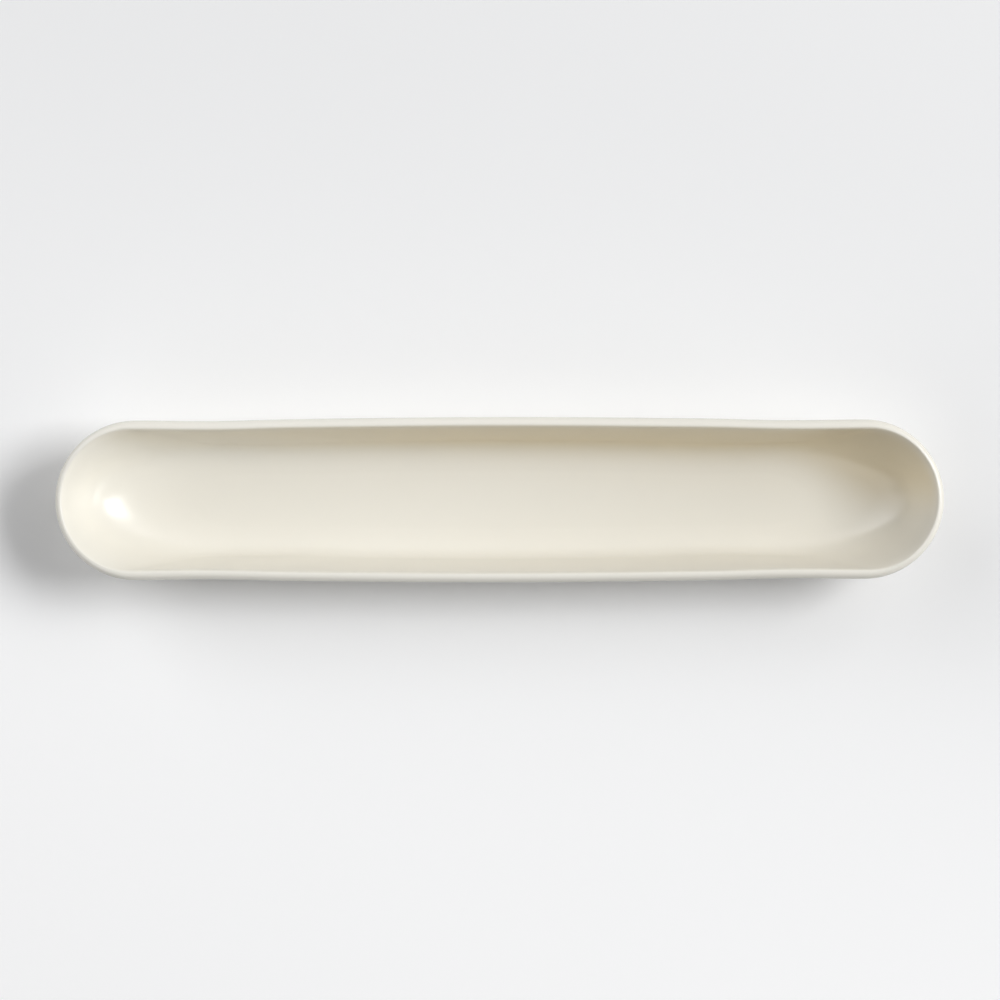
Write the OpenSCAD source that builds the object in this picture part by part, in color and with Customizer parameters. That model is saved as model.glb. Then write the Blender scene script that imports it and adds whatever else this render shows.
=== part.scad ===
// Long, narrow olive dish: a fired clay trough under a cream glaze, standing on an unglazed foot ring.
// The origin is on the table under the middle of the dish, with the length along X and +Z up.

/* [Overall] */
// Length over the lip
dish_length = 330; // [270:1:400]
// Width over the lip at mid length
dish_width = 61.4; // [51:0.2:76]
// Height from the table to the crest of the lip
dish_height = 34; // [28:0.5:44]
// Outward bow of each long side between its shoulders
side_bow = 1.1; // [0:0.1:2]
// Inward pinch of each long side next to the round ends
shoulder_pinch = 0.35; // [0:0.05:0.8]
// Length of one pinch along the side
pinch_length = 60; // [40:1:80]

/* [Lip] */
// Thickness of the lip along the sides, seen from above
lip_thickness = 3.8; // [3:0.1:5]
// Thickness of the lip at the tips of the round ends
end_lip_thickness = 3.2; // [2.6:0.1:4.4]
// Distance from the inner edge of the lip to its crest
crest_inset = 1.2; // [0.8:0.1:1.8]
// Drop from the crest to the inner end of the lip's rounding
inner_drop = 1.4; // [0.8:0.1:2.4]
// Drop from the crest to the outer end of the lip's rounding
outer_drop = 3; // [1.5:0.1:4]

/* [Hollow] */
// Inward lean of the side walls, from the lip down to the crease
side_lean = 4; // [2:0.1:6]
// Inward lean of the end walls, from the lip down to the crease
end_lean = 9; // [4:0.1:14]
// Width over which the floor sweeps up to the side walls
side_sweep = 12; // [8:0.5:14]
// Length over which the floor sweeps up to the end walls
end_sweep = 36; // [20:0.5:50]
// Height of that sweep, from the flat floor to the crease
sweep_rise = 8.5; // [5:0.1:11]
// Length of the crease's round ends as a multiple of their half width
end_taper = 1.7; // [1:0.05:2]
// Thickness of the floor over the recess in the base
floor_thickness = 4.6; // [3.5:0.1:7]

/* [Foot] */
// Distance of the foot ring in from the outline along the sides
foot_side_inset = 11.5; // [9:0.1:14]
// Distance of the foot ring in from the outline at the ends
foot_end_inset = 33; // [24:0.5:44]
// Width of the foot ring
foot_width = 3.8; // [3:0.1:5]
// Height of the foot ring on its outer side
foot_rise = 2.6; // [2:0.1:4]
// Depth of the recess inside the foot ring
recess_depth = 1.4; // [1:0.1:2]
// Radius of the foot ring's worn edges
foot_round = 0.9; // [0.5:0.1:1.2]
// Draft of the foot ring's two sides
foot_draft = 0.3; // [0.1:0.05:0.5]
// Squareness of the belly between the lip and the foot, where 2 is an ellipse
belly_squareness = 1.7; // [1.5:0.1:2.4]

/* [Glaze] */
// Thickness of the glaze
glaze_thickness = 0.4; // [0.2:0.05:0.6]
// Bare margin between the foot ring and the glaze in the recess
bare_margin = 1.2; // [0.5:0.1:2.5]

/* [Hidden] */

// Facets around each round end and along each long side
arc_steps = 14;
side_steps = 24;
ring_points = 2 * (arc_steps + side_steps);
// Facets across the sweep, the crease, the lip's two roundings, the belly and the foot's edges
sweep_steps = 5;
crease_steps = 3;
crest_in_steps = 3;
crest_out_steps = 4;
belly_steps = 6;
foot_steps = 3;
// Shares of the wall and of the sweep that the crease's blend takes up
crease_wall_share = 0.35;
crease_sweep_share = 0.28;
// Angle round the belly, from the lip, at which the glaze stops short of the foot
glaze_stop = 80;
// How far the foot is built below the table before it is ground flat
grind = 0.3;

half_length = dish_length / 2;
shoulder_half_width = dish_width / 2 - side_bow;
crest_x = lip_thickness - crest_inset;
end_crest_x = end_lip_thickness - crest_inset;
inner_z = dish_height - inner_drop;
outer_z = dish_height - outer_drop;
floor_z = recess_depth + floor_thickness;
crease_z = floor_z + sweep_rise;

// A station is one level of the surface: [inset at the sides, inset at the ends, end taper, height].

// Share of a pinch, from 0 to 1, at x on a side whose straight half is reach long
function pinch_at(x, reach) =
    let (off = abs(abs(x) - (reach - pinch_length / 2)))
    off < pinch_length / 2 ? (1 + cos(360 * off / pinch_length)) / 2 : 0;

// Half width at x of a side that ends at half width r
function side_y(x, reach, r) =
    r + side_bow * (1 + cos(180 * x / reach)) / 2 - shoulder_pinch * pinch_at(x, reach);

// Half of a station's outline: the right end from front to back, then the back side from right to left
function half_outline(reach, end_reach, r) = concat(
    [for (i = [0 : arc_steps - 1])
        let (a = -90 + 180 * i / arc_steps)
        [reach + end_reach * cos(a), r * sin(a)]],
    [for (i = [0 : side_steps - 1])
        let (x = reach - 2 * reach * i / side_steps)
        [x, side_y(x, reach, r)]]);

// Whole outline of a station, counter-clockwise from above: the half and its half-turn copy
function outline(station) =
    let (
        r = shoulder_half_width - station[0],
        end_reach = r * station[2],
        reach = half_length - station[1] - end_reach,
        half = half_outline(reach, end_reach, r))
    concat(half, [for (p = half) -p]);

// Hollow at a depth of skin below the glazed surface: the flat floor's edge at 0, the crease at 1.
// It rises evenly as a parabola at the ends, and bends up late along the sides.
function sweep_station(t, skin) = [
    lip_thickness - skin + side_lean + (side_sweep + skin) * (1 - t) * (1 - t),
    end_lip_thickness - skin + end_lean + (end_sweep + skin) * (1 - t),
    end_taper,
    floor_z - skin + sweep_rise * t * t];

// Wall of the hollow: the lip at 0, the crease at 1
function wall_station(t, skin) = [
    lip_thickness - skin + side_lean * t,
    end_lip_thickness - skin + end_lean * t,
    1 + (end_taper - 1) * t,
    inner_z - (inner_z - crease_z + skin) * t];

// Quadratic curve from low at 0 to high at 1, which leaves and arrives along the lines to the corner
function blend(low, corner, high, t) =
    (1 - t) * (1 - t) * low + 2 * t * (1 - t) * corner + t * t * high;

// Blend over the crease: the sweep at 0, the wall at 1
function crease_station(t, skin) = blend(
    sweep_station(1 - crease_sweep_share, skin),
    wall_station(1, skin),
    wall_station(1 - crease_wall_share, skin),
    t);

// Lip's outer rounding: the crest at 0 degrees, the widest outline at 90
function crest_out_station(a, skin) = [
    crest_x - (crest_x - skin) * sin(a),
    end_crest_x - (end_crest_x - skin) * sin(a),
    1,
    outer_z + (outer_drop - skin) * cos(a)];

// Lip's inner rounding: the wall's top at 0, the crest at 1, with its corner where the wall's line would
// reach the height of the crest
function crest_in_station(t, skin) = blend(
    wall_station(0, skin),
    wall_station((skin - inner_drop) / (inner_z - crease_z + skin), skin),
    crest_out_station(0, skin),
    t);

// Belly: the widest outline at 0 degrees, the foot ring at 90
function belly_station(a, skin) =
    let (
        drop = pow(sin(a), 2 / belly_squareness),
        run = 1 - pow(cos(a), 2 / belly_squareness))
    [
        skin + (foot_side_inset - skin) * run,
        skin + (foot_end_inset - skin) * run,
        1 + (end_taper - 1) * run,
        outer_z - (outer_z - foot_rise - skin) * drop];

// Foot ring at a distance in from its outer side, at a height
function foot_station(inset, z) = [foot_side_inset + inset, foot_end_inset + inset, end_taper, z];

// From the flat floor over the lip and down to the glaze's lower edge
function coat_stations(skin) = concat(
    [for (i = [0 : sweep_steps - 1])
        sweep_station((1 - crease_sweep_share) * i / (sweep_steps - 1), skin)],
    [for (i = [1 : crease_steps]) crease_station(i / crease_steps, skin)],
    [for (i = [0 : crest_in_steps]) crest_in_station(i / crest_in_steps, skin)],
    [for (i = [1 : crest_out_steps]) crest_out_station(90 * i / crest_out_steps, skin)],
    [for (i = [1 : belly_steps]) belly_station(glaze_stop * i / belly_steps, skin)]);

// Foot ring from the belly down its outer side, across the bearing and up to the recess
function foot_stations() =
    let (
        edge_z = foot_round - grind,
        outer_edge = foot_draft + foot_round,
        inner_edge = foot_width - foot_draft - foot_round)
    concat(
        [belly_station(90, glaze_thickness)],
        [for (i = [0 : foot_steps])
            let (a = 90 * i / foot_steps)
            foot_station(outer_edge - foot_round * cos(a), edge_z - foot_round * sin(a))],
        [for (i = [0 : foot_steps])
            let (a = 90 - 90 * i / foot_steps)
            foot_station(inner_edge + foot_round * cos(a), edge_z - foot_round * sin(a))],
        [foot_station(foot_width, recess_depth)]);

// Point of an outline opposite point i across the length
function mirrored(i) = (arc_steps - i + ring_points) % ring_points;

// Strips that close an outline, counter-clockwise from above
function cap_faces(first) = [
    for (i = [arc_steps / 2 : arc_steps / 2 + ring_points / 2 - 1])
        let (
            a = i % ring_points,
            b = (i + 1) % ring_points,
            strip = a == mirrored(a) ? [a, b, mirrored(b)]
                : b == mirrored(b) ? [a, b, mirrored(a)]
                : [a, b, mirrored(b), mirrored(a)])
        [for (p = strip) first + p]];

function reversed(list) = [for (i = [len(list) - 1 : -1 : 0]) list[i]];

// Two triangles over a cell between two levels, split at its shorter diagonal, so that lofts that share
// a surface split it alike
function cell_faces(points, a, b, c, d) =
    norm(points[a] - points[c]) < norm(points[b] - points[d])
        ? [[a, b, c], [a, c, d]]
        : [[a, b, d], [b, c, d]];

// Closed solid through a row of stations, which starts with a level that faces up
module loft(stations) {
    rows = len(stations);
    points = [
        for (s = stations)
            for (p = outline(s))
                [p[0], p[1], s[3]]];
    walls = [
        for (j = [0 : rows - 2])
            for (i = [0 : ring_points - 1])
                let (
                    k = (i + 1) % ring_points,
                    upper = j * ring_points,
                    lower = upper + ring_points)
                each cell_faces(points, upper + i, upper + k, lower + k, lower + i)];
    top = [for (f = cap_faces(0)) reversed(f)];
    bottom = cap_faces((rows - 1) * ring_points);
    polyhedron(points, concat(top, walls, bottom));
}

// Fired clay, with the foot ring ground flat on the table
module stoneware_body() {
    color([0.78, 0.69, 0.57])
        difference() {
            loft(concat(coat_stations(glaze_thickness), foot_stations()));
            translate([-half_length, -dish_width, -dish_height])
                cube([dish_length, 2 * dish_width, dish_height]);
        }
}

// Glaze over the hollow, the lip and the belly, down to just above the foot
module glaze_coat() {
    color([0.93, 0.91, 0.85])
        loft(concat(coat_stations(0), reversed(coat_stations(glaze_thickness))));
}

// Patch of glaze in the recess, clear of the foot ring and of the table
module base_glaze() {
    color([0.91, 0.89, 0.82])
        translate([0, 0, recess_depth - glaze_thickness])
            linear_extrude(glaze_thickness)
                polygon(outline(foot_station(foot_width + bare_margin, recess_depth)));
}

stoneware_body();
glaze_coat();
base_glaze();
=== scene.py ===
"""Looks of a long stoneware olive dish: its glaze, its bare clay, the table under it and the light.

Lengths are in metres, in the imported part's frame: the length of the dish along X, +Z up, the table at 0.
"""

from math import atan, cos, pi, radians, sin, tan

import bmesh
import bpy
import numpy as np
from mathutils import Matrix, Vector


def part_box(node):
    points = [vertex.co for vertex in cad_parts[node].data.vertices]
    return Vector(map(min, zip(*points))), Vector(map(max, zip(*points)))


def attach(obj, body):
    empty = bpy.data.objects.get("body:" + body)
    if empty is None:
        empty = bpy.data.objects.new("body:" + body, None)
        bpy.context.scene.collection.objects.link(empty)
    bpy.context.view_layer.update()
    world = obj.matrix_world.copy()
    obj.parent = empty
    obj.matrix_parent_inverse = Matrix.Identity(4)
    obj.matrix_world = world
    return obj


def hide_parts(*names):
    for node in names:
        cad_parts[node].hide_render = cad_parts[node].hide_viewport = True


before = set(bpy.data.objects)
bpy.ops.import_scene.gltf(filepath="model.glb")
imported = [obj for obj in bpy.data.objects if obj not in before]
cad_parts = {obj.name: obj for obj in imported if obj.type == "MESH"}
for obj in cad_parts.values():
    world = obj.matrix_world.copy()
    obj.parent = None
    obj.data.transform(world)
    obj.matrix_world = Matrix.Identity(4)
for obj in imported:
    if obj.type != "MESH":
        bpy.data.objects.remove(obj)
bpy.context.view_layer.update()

MM = 0.001

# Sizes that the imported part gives
coat_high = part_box("glaze_coat")[1]
clay_low, clay_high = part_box("stoneware_body")
patch_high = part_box("base_glaze")[1]
HALF_LENGTH = coat_high.x
HALF_WIDTH = coat_high.y
CREST_Z = coat_high.z
TABLE_Z = clay_low.z
GLAZE = coat_high.z - clay_high.z
RECESS_Z = patch_high.z

# Outline seen from above
SIDE_BOW = 1.1 * MM
SHOULDER_PINCH = 0.35 * MM
PINCH_LENGTH = 60 * MM
SHOULDER_HALF_WIDTH = HALF_WIDTH - SIDE_BOW

# Lip
SIDE_LIP = 3.8 * MM
END_LIP = 3.2 * MM
CREST_INSET = 1.2 * MM
INNER_Z = CREST_Z - 1.4 * MM
OUTER_Z = CREST_Z - 3 * MM
SIDE_CREST = SIDE_LIP - CREST_INSET
END_CREST = END_LIP - CREST_INSET

# Hollow: leaning walls down to a crease, then a floor that sweeps down to its flat middle
SIDE_LEAN = 4 * MM
END_LEAN = 9 * MM
SIDE_SWEEP = 12 * MM
END_SWEEP = 36 * MM
END_TAPER = 1.7
FLOOR_Z = RECESS_Z + 4.6 * MM
CREASE_Z = FLOOR_Z + 8.5 * MM
CREASE_WALL_SHARE = 0.35
CREASE_SWEEP_SHARE = 0.28
EASING_ROUNDS = 24

# Belly and foot ring
BELLY_SQUARENESS = 1.7
FOOT_SIDE_INSET = 11.5 * MM
FOOT_END_INSET = 33 * MM
FOOT_WIDTH = 3.8 * MM
FOOT_RISE = 2.6 * MM
FOOT_ROUND = 0.9 * MM
FOOT_DRAFT = 0.3 * MM
FOOT_GRIND = 0.3 * MM
BARE_MARGIN = 1.2 * MM

# Lower edge of the glaze: where it stops round the belly, how far it wavers and how it rounds off
GLAZE_STOP = radians(79)
GLAZE_WAVER = radians(1.6)
GLAZE_BEAD = radians(5)
PATCH_WAVER = 0.5 * MM

# How far the lip's pale tone, thinner glaze and partly a painted highlight, reaches along the surface, and
# what counts as ground flat on the table
THIN_AND_HIGHLIGHT_REACH = 3.2 * MM
GROUND_BAND = 0.02 * MM

# Grid: rows of each stretch, columns of each end and side, and how near points count as one
SWEEP_ROWS = 22
CREASE_ROWS = 20
WALL_ROWS = 11
LIP_ROWS = 13
COAT_ROWS = 33
BEAD_ROWS = 8
BELLY_ROWS = 39
FOOT_EDGE_ROWS = 10
PATCH_EDGE_ROWS = 7
CLOSING_ROWS = 10
MERGE_DISTANCE = 0.001 * MM
END_COLUMNS = 56
SIDE_COLUMNS = 88
HALF_COLUMNS = END_COLUMNS + SIDE_COLUMNS
COLUMNS = 2 * HALF_COLUMNS

# Angle round an end, place along a side from 1 to -1, and the half turn that copies the first half
END_ANGLES = np.linspace(-pi / 2, pi / 2, END_COLUMNS, endpoint=False)
SIDE_PLACES = np.linspace(1, -1, SIDE_COLUMNS, endpoint=False)
ANGLE = np.tile(np.append(END_ANGLES, np.zeros(SIDE_COLUMNS)), 2)
PLACE = np.tile(np.append(np.zeros(END_COLUMNS), SIDE_PLACES), 2)
ON_END = np.tile(np.arange(HALF_COLUMNS) < END_COLUMNS, 2)
TURN = np.repeat([1.0, -1.0], HALF_COLUMNS)
ROUND = np.linspace(0, 2 * pi, COLUMNS, endpoint=False)


def station(side_inset, end_inset, taper, height):
    """Levels of the surface from their four values, each over the levels and columns."""
    values = np.broadcast_arrays(side_inset, end_inset, taper, height, np.zeros(COLUMNS))
    return np.stack(values[:4], -1)


def steps(start, end, count):
    """A column of evenly spaced values, one for each level."""
    return np.linspace(start, end, count)[:, None]


def after(start, end, count):
    """Evenly spaced values up to the end, without the start, which the stretch before already holds."""
    return steps(start, end, count + 1)[1:]


def outline(levels):
    """Points of each level's outline, counter-clockwise from above.

    An end is half an ellipse, r across and r times the taper along. A side is a line at r, bowed outwards
    by one arch of a cosine and pinched by a cosine dip next to each end. The second half is a half turn of
    the first.
    """
    side_inset, end_inset, taper, height = np.moveaxis(levels, -1, 0)
    r = SHOULDER_HALF_WIDTH - side_inset
    reach = HALF_LENGTH - end_inset - r * taper
    arch = (1 + np.cos(pi * PLACE)) / 2
    off = np.abs(np.abs(PLACE) * reach - (reach - PINCH_LENGTH / 2))
    dip = np.where(off < PINCH_LENGTH / 2, (1 + np.cos(2 * pi * off / PINCH_LENGTH)) / 2, 0)
    x = np.where(ON_END, reach + r * taper * np.cos(ANGLE), reach * PLACE)
    y = np.where(ON_END, r * np.sin(ANGLE), r + SIDE_BOW * arch - SHOULDER_PINCH * dip)
    return np.stack([TURN * x, TURN * y, height], -1)


def blend(low, corner, high, t):
    """Quadratic curve from low at 0 to high at 1, which leaves and arrives along the lines to a corner."""
    t = t[..., None]
    return (1 - t) ** 2 * low + 2 * t * (1 - t) * corner + t**2 * high


def sweep(t, skin):
    """Floor from its flat middle at 0 to the crease at 1, at a depth of skin below the glaze.

    It rises evenly as a parabola at the ends, and bends up late along the sides.
    """
    return station(
        SIDE_LIP - skin + SIDE_LEAN + (SIDE_SWEEP + skin) * (1 - t) ** 2,
        END_LIP - skin + END_LEAN + (END_SWEEP + skin) * (1 - t),
        END_TAPER,
        FLOOR_Z - skin + (CREASE_Z - FLOOR_Z) * t**2)


def wall(t, skin):
    """Straight leaning wall from the lip at 0 to the crease at 1."""
    return station(
        SIDE_LIP - skin + SIDE_LEAN * t,
        END_LIP - skin + END_LEAN * t,
        1 + (END_TAPER - 1) * t,
        INNER_Z - (INNER_Z - CREASE_Z + skin) * t)


def crease(t, skin):
    """Soft crease: a quadratic curve from the sweep at 0 to the wall at 1."""
    return blend(sweep(1 - CREASE_SWEEP_SHARE, skin), wall(1, skin), wall(1 - CREASE_WALL_SHARE, skin), t)


def eased(levels):
    """Levels with their bends softened: again and again, each moves to the mean with its neighbours."""
    for _ in range(EASING_ROUNDS):
        levels[1:-1] = (levels[:-2] + 2 * levels[1:-1] + levels[2:]) / 4
    return levels


def lip_outer(a, skin):
    """Quarter ellipse from the crest at 0 to the widest outline at a quarter turn."""
    return station(
        SIDE_CREST - (SIDE_CREST - skin) * np.sin(a),
        END_CREST - (END_CREST - skin) * np.sin(a),
        1,
        OUTER_Z + (CREST_Z - OUTER_Z - skin) * np.cos(a))


def lip_inner(t, skin):
    """Quadratic curve from the top of the wall at 0 to the crest at 1.

    Its corner is where the wall's line would reach the height of the crest.
    """
    above = (CREST_Z - INNER_Z - skin) / (INNER_Z - CREASE_Z + skin)
    return blend(wall(0, skin), wall(-above, skin), lip_outer(0, skin), t)


def belly(a, skin):
    """Quarter superellipse from the widest outline at 0 to the foot at a quarter turn."""
    drop = np.sin(a) ** (2 / BELLY_SQUARENESS)
    run = 1 - np.abs(np.cos(a)) ** (2 / BELLY_SQUARENESS)
    return station(
        skin + (FOOT_SIDE_INSET - skin) * run,
        skin + (FOOT_END_INSET - skin) * run,
        1 + (END_TAPER - 1) * run,
        OUTER_Z - (OUTER_Z - FOOT_RISE - skin) * drop)


def foot(inset, height):
    """Level of the foot ring at a distance in from its outer side."""
    return station(FOOT_SIDE_INSET + inset, FOOT_END_INSET + inset, END_TAPER, height)


def waver():
    """Hand-wiped edge: three sine waves round the dish, from -1 to 1."""
    return 0.5 * np.sin(5 * ROUND + 0.7) + 0.3 * np.sin(11 * ROUND + 2.1) + 0.2 * np.sin(23 * ROUND + 4.0)


def hollow_and_lip(skin):
    """Levels from the flat floor's edge up the hollow, over the lip and out to the widest outline."""
    hollow = np.concatenate([
        sweep(steps(0, 1 - CREASE_SWEEP_SHARE, SWEEP_ROWS), skin),
        crease(after(0, 1, CREASE_ROWS), skin),
        wall(after(1 - CREASE_WALL_SHARE, 0, WALL_ROWS), skin)])
    return np.concatenate([
        eased(hollow),
        lip_inner(after(0, 1, LIP_ROWS), skin),
        lip_outer(after(0, pi / 2, LIP_ROWS), skin)])


def closing(edge):
    """Points that close an outline: each moves straight to the spine between the centres of the ends."""
    centre = edge[END_COLUMNS, 0]
    spine = np.stack([np.clip(edge[:, 0], -centre, centre), np.zeros(COLUMNS), edge[:, 2]], -1)
    share = after(0, 1, CLOSING_ROWS)[..., None]
    return edge + (spine - edge) * share


def closed_rows(levels):
    """Points of the levels, with the first and the last outline closed over by flat rows."""
    rows = outline(levels)
    return np.concatenate([closing(rows[0])[::-1], rows, closing(rows[-1])])


def profile_length(levels):
    """Height of each level at the middle of a side, and the length along the profile up to it."""
    profile = levels[:, END_COLUMNS + SIDE_COLUMNS // 2, [0, 3]]
    along = np.append(0, np.cumsum(np.linalg.norm(np.diff(profile, axis=0), axis=1)))
    return profile[:, 1], along


def nearness(levels, at, reach):
    """Mark that is 1 at one level and falls off as a bell with the distance along the profile."""
    along = profile_length(levels)[1]
    return np.exp(-(((along - along[at]) / reach) ** 2))


def steepness(levels, last):
    """Mark that is 0 where the profile is level and 1 where it is upright, and 0 past the last level."""
    height, along = profile_length(levels)
    return np.where(np.arange(len(levels)) < last, np.abs(np.gradient(height, along)), 0)


def add_piece(name, rows, marks, replaced, material):
    """Object of quads between neighbouring rows, closed round its columns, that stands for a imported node.

    Each mark is one value a row, kept as a point attribute. Points that meet on a spine are merged.
    """
    count = len(rows)
    first = np.arange(count * COLUMNS).reshape(count, COLUMNS)
    beside = np.roll(first, -1, axis=1)
    quads = np.stack([first[:-1], beside[:-1], beside[1:], first[1:]], -1).reshape(-1, 4)
    mesh = bpy.data.meshes.new(name)
    mesh.from_pydata(rows.reshape(-1, 3).tolist(), [], quads.tolist())
    for mark, values in marks.items():
        layer = mesh.attributes.new(mark, "FLOAT", "POINT")
        layer.data.foreach_set("value", np.repeat(values, COLUMNS).astype(np.float32))
    solid = bmesh.new()
    solid.from_mesh(mesh)
    bmesh.ops.remove_doubles(solid, verts=solid.verts, dist=MERGE_DISTANCE)
    bmesh.ops.recalc_face_normals(solid, faces=solid.faces)
    solid.to_mesh(mesh)
    solid.free()
    mesh.polygons.foreach_set("use_smooth", np.ones(len(mesh.polygons), bool))
    mesh.materials.append(material)
    piece = bpy.data.objects.new(name, mesh)
    bpy.context.scene.collection.objects.link(piece)
    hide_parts(replaced)
    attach(piece, "root")


def padded(values, rows):
    """One value a row from one value a level: the flat rows that close the shape repeat the end values."""
    spare = (len(rows) - len(values)) // 2
    return np.pad(values, spare, mode="edge")


def add_glaze_coat(material):
    """Glaze over the hollow, the lip and the belly, with a rounded, slightly wavering lower edge."""
    stop = GLAZE_STOP + GLAZE_WAVER * waver()
    upper = hollow_and_lip(0)
    side = belly(after(0, 1, COAT_ROWS) * (stop - GLAZE_BEAD), 0)
    rounding = after(0, pi / 2, BEAD_ROWS)
    bead = belly(stop - GLAZE_BEAD * (1 - np.sin(rounding)), GLAZE * (1 - np.cos(rounding)))
    under = np.concatenate([hollow_and_lip(GLAZE), belly(after(0, 1, COAT_ROWS)[:-1] * stop, GLAZE)])
    levels = np.concatenate([upper, side, bead, under[::-1]])
    rows = closed_rows(levels)
    crest = int(np.argmax(upper[:, 0, 3]))
    # The first mark is the lip's pale tone: thinner glaze and partly a painted highlight. The second
    # carries the painted shade of the steep far side.
    marks = {
        "thin_and_highlight": padded(nearness(levels, crest, THIN_AND_HIGHLIGHT_REACH), rows),
        "steep": padded(steepness(levels, crest), rows)}
    add_piece("olive_dish_glaze", rows, marks, "glaze_coat", material)


def add_stoneware(material):
    """Clay body under the glaze, with the bare foot ring ground flat where it meets the table."""
    edge_z = FOOT_ROUND - FOOT_GRIND
    outer_edge = FOOT_DRAFT + FOOT_ROUND
    inner_edge = FOOT_WIDTH - FOOT_DRAFT - FOOT_ROUND
    down = steps(0, pi / 2, FOOT_EDGE_ROWS)
    up = down[::-1]
    clay = np.concatenate([hollow_and_lip(GLAZE), belly(after(0, pi / 2, BELLY_ROWS), GLAZE)])
    ring = np.concatenate([
        foot(outer_edge - FOOT_ROUND * np.cos(down), edge_z - FOOT_ROUND * np.sin(down)),
        foot(inner_edge + FOOT_ROUND * np.cos(up), edge_z - FOOT_ROUND * np.sin(up)),
        foot(FOOT_WIDTH, steps(RECESS_Z, RECESS_Z, 1))])
    ring[..., 3] = np.maximum(ring[..., 3], TABLE_Z)
    levels = np.concatenate([clay, ring])
    rows = closed_rows(levels)
    ground = (levels[:, 0, 3] <= TABLE_Z + GROUND_BAND).astype(float)
    marks = {"ground": padded(ground, rows)}
    add_piece("olive_dish_clay", rows, marks, "stoneware_body", material)


def add_base_patch(material):
    """Patch of glaze in the recess, inside a bare margin, with a rounded and slightly wavering edge."""
    inset = FOOT_WIDTH + BARE_MARGIN + PATCH_WAVER * (1 + waver()) / 2
    rounding = after(0, pi / 2, PATCH_EDGE_ROWS)
    levels = np.concatenate([
        foot(inset, steps(RECESS_Z, RECESS_Z, 1)),
        foot(inset + GLAZE * (1 - np.cos(rounding)), RECESS_Z - GLAZE * np.sin(rounding))])
    rows = closed_rows(levels)
    marks = {"thin_and_highlight": np.zeros(len(rows)), "steep": np.zeros(len(rows))}
    add_piece("olive_dish_base_glaze", rows, marks, "base_glaze", material)


def new_mask_group(name, inputs):
    """Empty shader group with named inputs, each a Float or a Vector, that puts out one mask."""
    group = bpy.data.node_groups.new(name, "ShaderNodeTree")
    for socket, kind in inputs.items():
        group.interface.new_socket(socket, in_out="INPUT", socket_type="NodeSocket" + kind)
    group.interface.new_socket("Mask", in_out="OUTPUT", socket_type="NodeSocketFloat")
    return group, group.nodes.new("NodeGroupInput"), group.nodes.new("NodeGroupOutput")


def cloud_group():
    """Cloudy mask from 0 to 1: noise with blotches of about Size metres, stretched by Contrast."""
    inputs = {"Size": "Float", "Contrast": "Float"}
    group, given, out = new_mask_group("cloud_mask", inputs)
    place = group.nodes.new("ShaderNodeTexCoord")
    scale = group.nodes.new("ShaderNodeMath")
    scale.operation = "DIVIDE"
    scale.inputs[0].default_value = 1
    noise = group.nodes.new("ShaderNodeTexNoise")
    noise.inputs["Detail"].default_value = 3
    centred = group.nodes.new("ShaderNodeMath")
    centred.operation = "SUBTRACT"
    centred.inputs[1].default_value = 0.5
    stretched = group.nodes.new("ShaderNodeMath")
    stretched.operation = "MULTIPLY_ADD"
    stretched.use_clamp = True
    stretched.inputs[2].default_value = 0.5
    link = group.links.new
    link(given.outputs["Size"], scale.inputs[1])
    link(place.outputs["Object"], noise.inputs["Vector"])
    link(scale.outputs["Value"], noise.inputs["Scale"])
    link(noise.outputs["Fac"], centred.inputs[0])
    link(centred.outputs["Value"], stretched.inputs[0])
    link(given.outputs["Contrast"], stretched.inputs[1])
    link(stretched.outputs["Value"], out.inputs["Mask"])
    return group


def slope_group():
    """Mask that goes softly from 0 at Start to 1 at End, both distances along Direction."""
    inputs = {"Direction": "Vector", "Start": "Float", "End": "Float"}
    group, given, out = new_mask_group("slope_mask", inputs)
    place = group.nodes.new("ShaderNodeTexCoord")
    along = group.nodes.new("ShaderNodeVectorMath")
    along.operation = "DOT_PRODUCT"
    soft = group.nodes.new("ShaderNodeMapRange")
    soft.interpolation_type = "SMOOTHSTEP"
    link = group.links.new
    link(place.outputs["Object"], along.inputs[0])
    link(given.outputs["Direction"], along.inputs[1])
    link(along.outputs["Value"], soft.inputs["Value"])
    link(given.outputs["Start"], soft.inputs["From Min"])
    link(given.outputs["End"], soft.inputs["From Max"])
    link(soft.outputs["Result"], out.inputs["Mask"])
    return group


def new_material(name):
    """Material with an empty Principled shader, and short ways to add and to link its nodes."""
    material = bpy.data.materials.new(name)
    material.use_nodes = True
    tree = material.node_tree
    return material, tree.nodes["Principled BSDF"], tree.nodes.new, tree.links.new


def add_mask(add, group, **values):
    """Mask that a shared group makes from a material's own values, named as the group's inputs."""
    node = add("ShaderNodeGroup")
    node.node_tree = group
    for socket, value in values.items():
        node.inputs[socket.capitalize()].default_value = value
    return node.outputs["Mask"]


def add_mix(add, link, mask, first, second):
    """Colour that goes from first to second with the mask. Either is a colour or a node's output."""
    node = add("ShaderNodeMix")
    node.data_type = "RGBA"
    factor, a, b = node.inputs[0], node.inputs[6], node.inputs[7]
    link(mask, factor)
    for socket, colour in ((a, first), (b, second)):
        if isinstance(colour, tuple):
            socket.default_value = (*colour, 1)
        else:
            link(colour, socket)
    return node.outputs[2]


def add_share(add, link, value, low, high):
    """Mask spread from 0 to 1 over low to high."""
    node = add("ShaderNodeMapRange")
    node.inputs["To Min"].default_value = low
    node.inputs["To Max"].default_value = high
    link(value, node.inputs["Value"])
    return node.outputs["Result"]


def add_mark(add, name):
    """Mark that the mesh holds at its points."""
    node = add("ShaderNodeAttribute")
    node.attribute_name = name
    return node.outputs["Fac"]


def add_relief(add, link, height, distance, below=None):
    """Bump of a height over the surface, on top of an earlier one if there is one."""
    node = add("ShaderNodeBump")
    node.inputs["Strength"].default_value = 1
    node.inputs["Distance"].default_value = distance
    link(height, node.inputs["Height"])
    if below is not None:
        link(below, node.inputs["Normal"])
    return node.outputs["Normal"]


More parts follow.
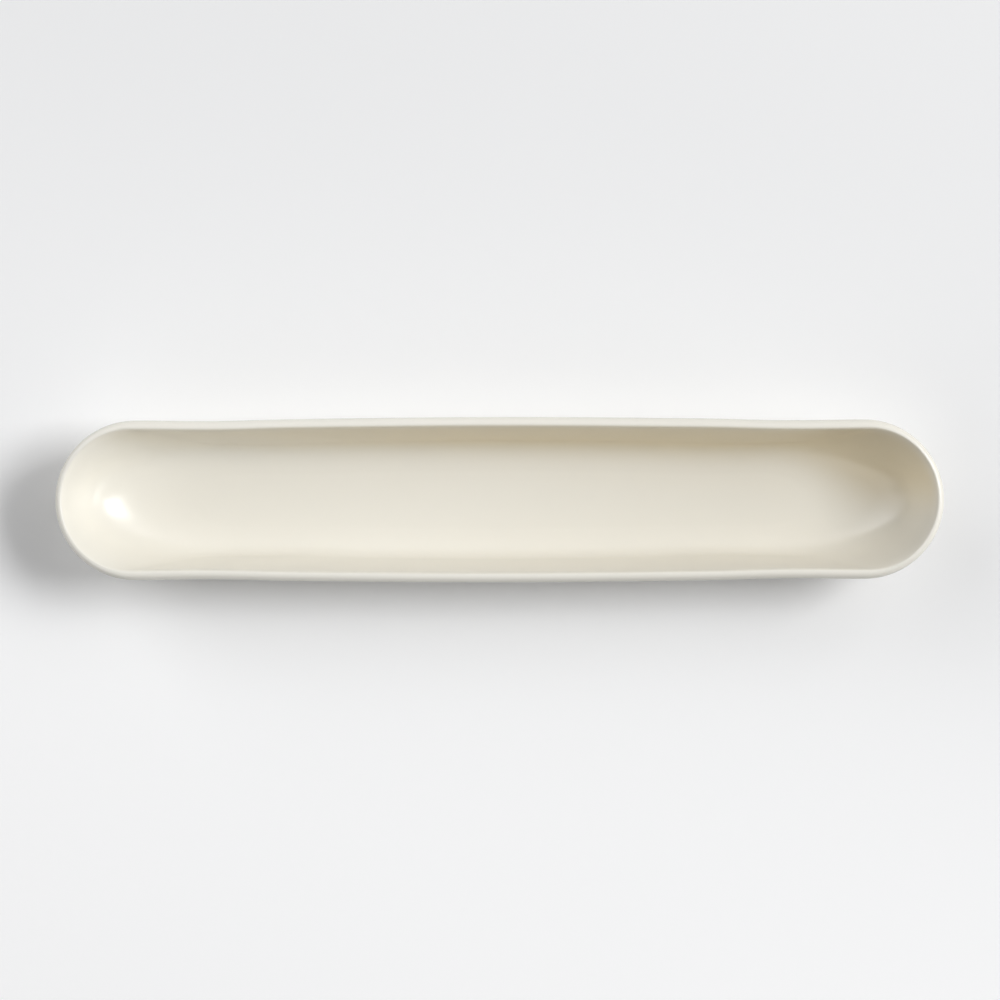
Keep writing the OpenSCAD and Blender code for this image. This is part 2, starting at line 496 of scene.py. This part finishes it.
# Colours, linear
GLAZE_TONE = (0.827, 0.803, 0.729)
GLAZE_CLOUD = (0.814, 0.789, 0.713)
# Painted shade: the glaze darker towards the right end
GLAZE_RIGHT_PAINTED_SHADE = (0.760, 0.733, 0.656)
# Thinner glaze over the lip, and partly a painted highlight
GLAZE_THIN_AND_HIGHLIGHT = (0.900, 0.878, 0.810)
# Painted shade: warmer and darker on the steep far side
GLAZE_FAR_PAINTED_SHADE = (0.785, 0.690, 0.505)
CLAY_TONE = (0.560, 0.430, 0.300)
CLAY_CLOUD = (0.480, 0.355, 0.240)
CLAY_GROUND = (0.640, 0.520, 0.390)
CLAY_SPECK = (0.230, 0.150, 0.095)
TABLE_NEAR = (0.990, 0.993, 1.000)
TABLE_CLOUD = (0.984, 0.987, 0.994)
# Painted shade: the table greyer towards the far right
TABLE_PAINTED_SHADE = (0.868, 0.872, 0.880)
TABLE_BOUNCE = (0.84, 0.84, 0.84)

# Finishes: ranges of roughness, how much of a mark shows, where specks begin and depths of relief
GLAZE_ROUGHNESS = (0.22, 0.25)
CLAY_ROUGHNESS = (0.9, 0.72)
THIN_AND_HIGHLIGHT_SHARE = 0.45
GROUND_SHARE = 0.7
SPECK_START = 0.68
SPECK_FULL = 0.74
GLAZE_WAVE_DEPTH = 0.05 * MM
GLAZE_PEEL_DEPTH = 0.004 * MM
CLAY_GRAIN_DEPTH = 0.06 * MM

# Directions of slow changes of tone, all of them painted shade: along the dish, to its far side by shares
# of its size, on the table
RIGHT = (1, 0, 0)
FAR_SIDE = (0.4 / HALF_LENGTH, 0.8 / HALF_WIDTH, 0)
TABLE_FAR_RIGHT = (0.37, 1, 0)


def glaze_material(cloud, slope):
    """Satin cream glaze: cloudy, with painted shade that deepens it to the right and warms and darkens the
    steep far side, and paler over the lip from thinner glaze and partly a painted highlight.
    """
    material, shader, add, link = new_material("cream_glaze")
    patches = add_mask(add, cloud, size=34 * MM, contrast=1.5)
    right = add_mask(add, slope, direction=RIGHT, start=-50 * MM, end=120 * MM)
    far_side = add_mask(add, slope, direction=FAR_SIDE, start=0.1, end=0.65)
    thin_and_highlight = add_share(add, link, add_mark(add, "thin_and_highlight"), 0, THIN_AND_HIGHLIGHT_SHARE)
    tone = add_mix(add, link, patches, GLAZE_TONE, GLAZE_CLOUD)
    # Painted shade: darker towards the right
    tone = add_mix(add, link, right, tone, GLAZE_RIGHT_PAINTED_SHADE)
    # Painted shade on the steep far side: steepness times the far-side mask
    run = add("ShaderNodeMath")
    run.operation = "MULTIPLY"
    link(add_mark(add, "steep"), run.inputs[0])
    link(far_side, run.inputs[1])
    tone = add_mix(add, link, run.outputs["Value"], tone, GLAZE_FAR_PAINTED_SHADE)
    # Pale tone over the lip: thinner glaze, and partly a painted highlight
    tone = add_mix(add, link, thin_and_highlight, tone, GLAZE_THIN_AND_HIGHLIGHT)
    link(tone, shader.inputs["Base Color"])
    sheen = add_mask(add, cloud, size=9 * MM, contrast=1.5)
    link(add_share(add, link, sheen, *GLAZE_ROUGHNESS), shader.inputs["Roughness"])
    uneven = add_relief(add, link, add_mask(add, cloud, size=22 * MM, contrast=1), GLAZE_WAVE_DEPTH)
    pores = add_mask(add, cloud, size=1.6 * MM, contrast=1)
    link(add_relief(add, link, pores, GLAZE_PEEL_DEPTH, uneven), shader.inputs["Normal"])
    return material


def clay_material(cloud):
    """Bare fired clay: blotchy buff with dark specks, paler and smoother where the foot is ground flat."""
    material, shader, add, link = new_material("bare_clay")
    ground = add_mark(add, "ground")
    tone = add_mix(add, link, add_mask(add, cloud, size=6 * MM, contrast=3), CLAY_TONE, CLAY_CLOUD)
    tone = add_mix(add, link, add_share(add, link, ground, 0, GROUND_SHARE), tone, CLAY_GROUND)
    specks = add("ShaderNodeMapRange")
    specks.inputs["From Min"].default_value = SPECK_START
    specks.inputs["From Max"].default_value = SPECK_FULL
    link(add_mask(add, cloud, size=1.1 * MM, contrast=1), specks.inputs["Value"])
    tone = add_mix(add, link, specks.outputs["Result"], tone, CLAY_SPECK)
    link(tone, shader.inputs["Base Color"])
    link(add_share(add, link, ground, *CLAY_ROUGHNESS), shader.inputs["Roughness"])
    grain = add_relief(add, link, add_mask(add, cloud, size=0.5 * MM, contrast=1), CLAY_GRAIN_DEPTH)
    link(grain, shader.inputs["Normal"])
    return material


def table_material(cloud, slope):
    """Pale matt table, with painted shade that greys it off to the far right.

    The camera sees it near white, and its bounced light is that of a pale grey.
    """
    material, shader, add, link = new_material("table")
    near = add_mix(add, link, add_mask(add, cloud, size=250 * MM, contrast=2), TABLE_NEAR, TABLE_CLOUD)
    # Painted shade: greyer towards the far right
    table_painted_shade = add_mask(add, slope, direction=TABLE_FAR_RIGHT, start=-200 * MM, end=200 * MM)
    seen = add_mix(add, link, table_painted_shade, near, TABLE_PAINTED_SHADE)
    ray = add("ShaderNodeLightPath")
    link(add_mix(add, link, ray.outputs["Is Camera Ray"], TABLE_BOUNCE, seen), shader.inputs["Base Color"])
    shader.inputs["Roughness"].default_value = 1
    shader.inputs["Specular IOR Level"].default_value = 0
    return material


# Table
TABLE_HALF = 2.2


def add_table(material):
    """Flat square of table under the dish, a stage and no part of it."""
    corners = np.array([(-1, -1, 0), (1, -1, 0), (1, 1, 0), (-1, 1, 0)]) * TABLE_HALF
    mesh = bpy.data.meshes.new("table")
    mesh.from_pydata((corners + (0, 0, TABLE_Z)).tolist(), [], [(0, 1, 2, 3)])
    mesh.materials.append(material)
    table = bpy.data.objects.new("table", mesh)
    bpy.context.scene.collection.objects.link(table)


# Light: windows on the right, a low strip beside them and pale walls and corners on the left
PANEL_DISTANCE = 5.0
AMBIENT = 0.07
BACKDROP = 0.95


def add_panel(name, azimuth, elevation, half_width, half_height, level):
    """Rectangular soft light that faces the dish, with its azimuth from +X towards +Y.

    Its half width and half height are angles seen from the dish. The level is the brightness that a white
    face turned straight to it would have.
    """
    a = radians(azimuth)
    e = radians(elevation)
    away = Vector((cos(a) * cos(e), sin(a) * cos(e), sin(e)))
    light = bpy.data.lights.new(name, "AREA")
    light.shape = "RECTANGLE"
    light.size = 2 * PANEL_DISTANCE * tan(radians(half_width))
    light.size_y = 2 * PANEL_DISTANCE * tan(radians(half_height))
    light.energy = level * (pi * PANEL_DISTANCE) ** 2
    panel = bpy.data.objects.new(name, light)
    panel.location = away * PANEL_DISTANCE
    panel.rotation_euler = away.to_track_quat("Z", "Y").to_euler()
    panel.visible_camera = False
    bpy.context.scene.collection.objects.link(panel)


def add_world():
    """Dim even light from all round. The camera and glossy rays see a pale backdrop in its place."""
    world = bpy.data.worlds.new("studio")
    world.use_nodes = True
    add = world.node_tree.nodes.new
    link = world.node_tree.links.new
    ambient = world.node_tree.nodes["Background"]
    ambient.inputs["Color"].default_value = (1, 1, 1, 1)
    ambient.inputs["Strength"].default_value = AMBIENT
    backdrop = add("ShaderNodeBackground")
    backdrop.inputs["Color"].default_value = (1, 1, 1, 1)
    backdrop.inputs["Strength"].default_value = BACKDROP
    ray = add("ShaderNodeLightPath")
    either = add("ShaderNodeMath")
    either.operation = "MAXIMUM"
    seen = add("ShaderNodeMath")
    seen.operation = "MAXIMUM"
    mix = add("ShaderNodeMixShader")
    link(ray.outputs["Is Camera Ray"], either.inputs[0])
    link(ray.outputs["Is Glossy Ray"], either.inputs[1])
    link(either.outputs["Value"], seen.inputs[0])
    link(ray.outputs["Is Transmission Ray"], seen.inputs[1])
    link(seen.outputs["Value"], mix.inputs["Fac"])
    link(ambient.outputs["Background"], mix.inputs[1])
    link(backdrop.outputs["Background"], mix.inputs[2])
    link(mix.outputs["Shader"], world.node_tree.nodes["World Output"].inputs["Surface"])
    bpy.context.scene.world = world


# Camera straight above, whose view across just holds the length of the dish at the height of the lip
CAMERA_ABOVE_LIP = 1.2
VIEW_WIDTH = 370.5 * MM
CAMERA_X = 0.13 * MM
CAMERA_Y = -0.11 * MM
CAMERA_TURN = radians(-0.1)


def add_camera():
    """Camera that looks straight down with the length of the dish across the picture."""
    lens = bpy.data.cameras.new("camera")
    lens.sensor_fit = "HORIZONTAL"
    lens.angle = 2 * atan(VIEW_WIDTH / 2 / CAMERA_ABOVE_LIP)
    camera = bpy.data.objects.new("camera", lens)
    camera.location = (CAMERA_X, CAMERA_Y, CREST_Z + CAMERA_ABOVE_LIP)
    camera.rotation_euler = (0, 0, CAMERA_TURN)
    bpy.context.scene.collection.objects.link(camera)
    bpy.context.scene.camera = camera


cloud = cloud_group()
slope = slope_group()
cream_glaze = glaze_material(cloud, slope)
add_glaze_coat(cream_glaze)
add_stoneware(clay_material(cloud))
add_base_patch(cream_glaze)
add_table(table_material(cloud, slope))
add_panel("window", azimuth=14, elevation=44.5, half_width=12.5, half_height=12, level=0.735)
add_panel("low_strip", azimuth=-10, elevation=15, half_width=18, half_height=7, level=0.16)
add_panel("far_window", azimuth=45, elevation=40, half_width=15, half_height=12, level=0.12)
add_panel("far_corner", azimuth=135, elevation=25, half_width=15, half_height=12, level=0.115)
add_panel("left_wall", azimuth=155, elevation=36, half_width=30, half_height=18, level=0.325)
add_panel("near_corner", azimuth=225, elevation=35, half_width=20, half_height=15, level=0.13)
add_world()
add_camera()
bpy.context.scene.view_settings.view_transform = "Standard"
